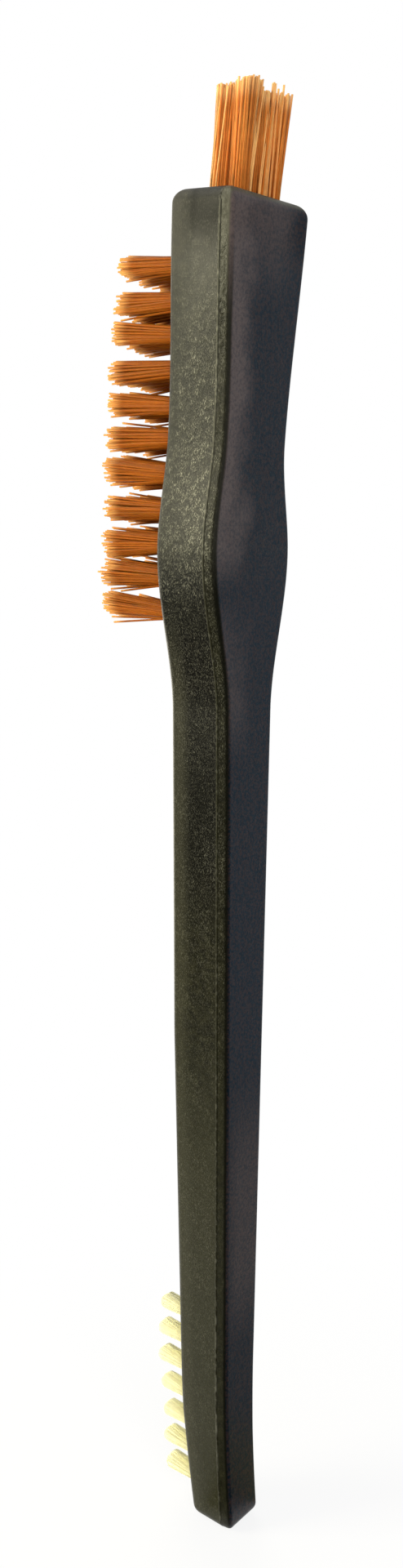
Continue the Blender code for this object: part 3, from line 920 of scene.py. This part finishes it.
def add_world():
    # White where the background is seen, and softer as the light from all round
    world = bpy.data.worlds.new("studio")
    world.use_nodes = True
    tree = world.node_tree
    tree.nodes.clear()
    mix = tree.nodes.new("ShaderNodeMixShader")
    output = tree.nodes.new("ShaderNodeOutputWorld")
    tree.links.new(shown_as_background(tree), mix.inputs[0])
    for strength, socket in ((AMBIENT, mix.inputs[1]), (1.0, mix.inputs[2])):
        background = tree.nodes.new("ShaderNodeBackground")
        background.inputs["Color"].default_value = (1.0, 1.0, 1.0, 1.0)
        background.inputs["Strength"].default_value = strength
        tree.links.new(background.outputs[0], socket)
    tree.links.new(mix.outputs[0], output.inputs["Surface"])
    bpy.context.scene.world = world


def floor_material():
    # Matt and pale. Where it is seen it glows as white as the background, but less at the foot of the brush
    m = Nodes("studio_floor")
    m.shader.inputs["Base Color"].default_value = (0.86, 0.86, 0.86, 1.0)
    m.shader.inputs["Roughness"].default_value = 0.9
    m.shader.inputs["Specular IOR Level"].default_value = 0.0
    glow = m.add("ShaderNodeEmission")
    glow.inputs["Color"].default_value = (1.0, 1.0, 1.0, 1.0)
    glow.inputs["Strength"].default_value = 1.0
    reach = m.add("ShaderNodeVectorMath", operation="LENGTH")
    m.join(m.object_place(), reach.inputs[0])
    share = m.ramp(reach.outputs["Value"], 0.015, 0.12, 0.86, 1.0, smooth=True)
    mix = m.add("ShaderNodeMixShader")
    m.join(m.times(shown_as_background(m.tree), share), mix.inputs[0])
    m.join(m.shader.outputs[0], mix.inputs[1])
    m.join(glow.outputs[0], mix.inputs[2])
    m.join(mix.outputs[0], m.output.inputs["Surface"])
    return m.material


def add_floor():
    mesh = bpy.data.meshes.new("studio_floor")
    corners = [(x * FLOOR_REACH, y * FLOOR_REACH, 0.0) for x, y in ((-1, -1), (1, -1), (1, 1), (-1, 1))]
    mesh.from_pydata(corners, [], [(0, 1, 2, 3)])
    mesh.materials.append(floor_material())
    floor = bpy.data.objects.new("studio_floor", mesh)
    floor.location = (0.0, 0.0, -FLOOR_DROP)
    bpy.context.scene.collection.objects.link(floor)


def add_card(name, points, faces, colour, glow):
    # A card that only reflections show, as a studio uses to shape the sheen of a dark object
    m = Nodes(f"{name}_look")
    m.shader.inputs["Base Color"].default_value = (*colour, 1.0)
    m.shader.inputs["Roughness"].default_value = 0.9
    m.shader.inputs["Specular IOR Level"].default_value = 0.0
    m.shader.inputs["Emission Color"].default_value = (*colour, 1.0)
    m.shader.inputs["Emission Strength"].default_value = glow
    mesh = bpy.data.meshes.new(name)
    mesh.from_pydata(points, [], faces)
    mesh.materials.append(m.material)
    card = bpy.data.objects.new(name, mesh)
    card.visible_camera = False
    card.visible_diffuse = False
    card.visible_transmission = False
    card.visible_shadow = False
    bpy.context.scene.collection.objects.link(card)


def place_around(angle, radius, height):
    # A point round the brush, at an angle from -Y toward +X in degrees
    turn = math.radians(angle)
    return (radius * math.sin(turn), -radius * math.cos(turn), height)


def add_screen(name, start, end, foot, head, colour, glow=0.0, apron=None):
    # A curved card between two angles, from its foot to its head, each a radius and a height. Its apron lies
    # in front of it and reaches in as far as the radius apron
    steps = 16
    points, faces = [], []
    for step in range(steps + 1):
        angle = start + (end - start) * step / steps
        points += [
            place_around(angle, *foot),
            place_around(angle, *head),
            place_around(angle, apron or foot[0], foot[1]),
        ]
    for step in range(steps):
        a = 3 * step
        faces.append((a, a + 3, a + 4, a + 1))
        if apron:
            faces.append((a, a + 2, a + 5, a + 3))
    add_card(name, points, faces, colour, glow)


def light_studio():
    # Each lamp: its place, the height that it looks at, its size, its power in watts and its colour
    add_lamp("key", (-0.40, -0.42, 0.345), 0.20, (0.22, 0.28), 3.2, (1.0, 0.94, 0.66))
    add_lamp("fill", (0.38, -0.30, 0.42), 0.20, (0.3, 0.3), 1.4, (0.95, 0.97, 1.0), glossy=False)
    add_lamp("low", (-0.30, -0.38, 0.10), 0.03, (0.25, 0.15), 0.85, (1.0, 0.98, 0.9), glossy=False)
    add_lamp("rear", (-0.34, 0.32, 0.34), 0.10, (0.3, 0.3), 1.3, (1.0, 0.98, 0.9), glossy=False)

    # Each card: the angles that it stands between, then the radius and the height of its foot and of its head
    add_screen("left_screen", -75.0, -30.0, (0.19, 0.0), (0.19, 0.15), BLACK_CARD)
    add_screen("edge_screen", -120.0, -88.0, (0.30, CARD_HEIGHT), (0.30, 0.45), WARM_CARD, glow=3.0)
    add_screen("front_screen", -30.0, 122.0, (0.32, CARD_HEIGHT), (0.32, 0.45), BLACK_CARD, apron=0.008)
    add_screen("back_screen", 122.0, 175.0, (0.40, CARD_HEIGHT), (0.40, 0.60), BLUE_CARD, glow=1.0)
    aprons = (
        ("foot_apron", 0.008, 0.030, (0.17, 0.18, 0.10)),
        ("near_apron", 0.030, 0.180, (0.14, 0.165, 0.19)),
        ("far_apron", 0.180, 0.400, BLUE_CARD),
    )
    for name, near, far, colour in aprons:
        head = (near, CARD_HEIGHT + 0.1 * MM)
        add_screen(name, 122.0, 175.0, (far, CARD_HEIGHT), head, colour, glow=1.0)
    add_screen("top_screen", -75.0, -10.0, (0.50, 0.63), (0.17, 0.87), WARM_CARD, glow=5.0)
    add_world()
    bpy.context.scene.view_settings.view_transform = "Standard"


add_camera()
light_studio()
add_floor()

add_handle(handle_material())

amber = filament_material(
    "amber_nylon_look", root=(0.23, 0.049, 0.003), body=(0.300, 0.077, 0.0050), tip=(0.70, 0.33, 0.09),
    body_start=0.35, tip_start=0.80, unlike=0.12, passed=0.6)
# The end tufts: the same amber nylon, painted lighter as a lit copy of it
amber_lit_copy = filament_material(
    "amber_nylon_end_look", root=(0.46, 0.136, 0.020), body=(0.60, 0.200, 0.038), tip=(0.90, 0.47, 0.170),
    body_start=0.70, tip_start=0.80, unlike=0.20, passed=0.6)
pale = filament_material(
    "pale_nylon_look", root=(0.96, 0.87, 0.42), body=(0.99, 0.92, 0.50), tip=(0.99, 0.94, 0.56),
    body_start=0.35, tip_start=0.60, unlike=0.03, passed=0.5)
side_tufts(amber)
end_tufts(amber_lit_copy)
tail_tufts(pale)
flash_lines(flash_material())
